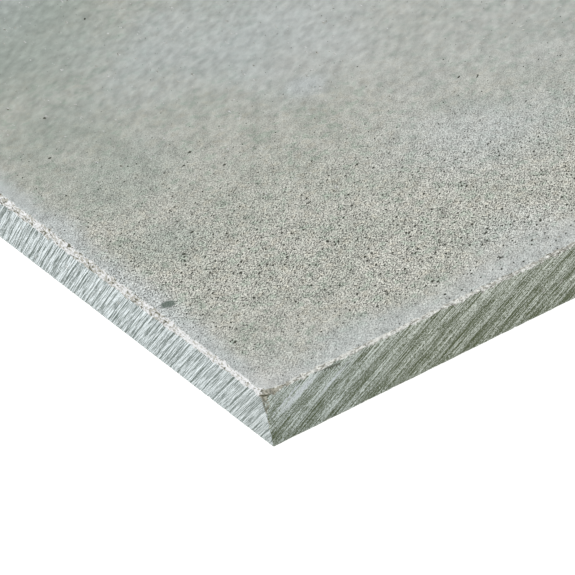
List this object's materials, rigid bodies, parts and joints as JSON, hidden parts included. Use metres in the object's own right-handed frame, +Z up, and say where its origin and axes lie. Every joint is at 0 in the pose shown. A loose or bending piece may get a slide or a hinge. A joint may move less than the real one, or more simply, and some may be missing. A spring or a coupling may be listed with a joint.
{
  "type": "fibre cement board",
  "caption": "Flat rectangular board of pressed cement and fibre with sawn square edges and eased arrises, for lining, backing and cladding.",
  "frame": {"origin": "middle of the back face, on the surface that the board lies on", "axes": "+X along the length, +Y across the width, +Z up through the thickness from the back to the face"},
  "size_m": [1.2, 0.6, 0.012],
  "materials": {
    "fibre_cement": "matt, raw and finely pitted, with sawn edges"
  },
  "bodies": {
    "root": {"board": "fibre_cement"}
  },
  "joints": []
}
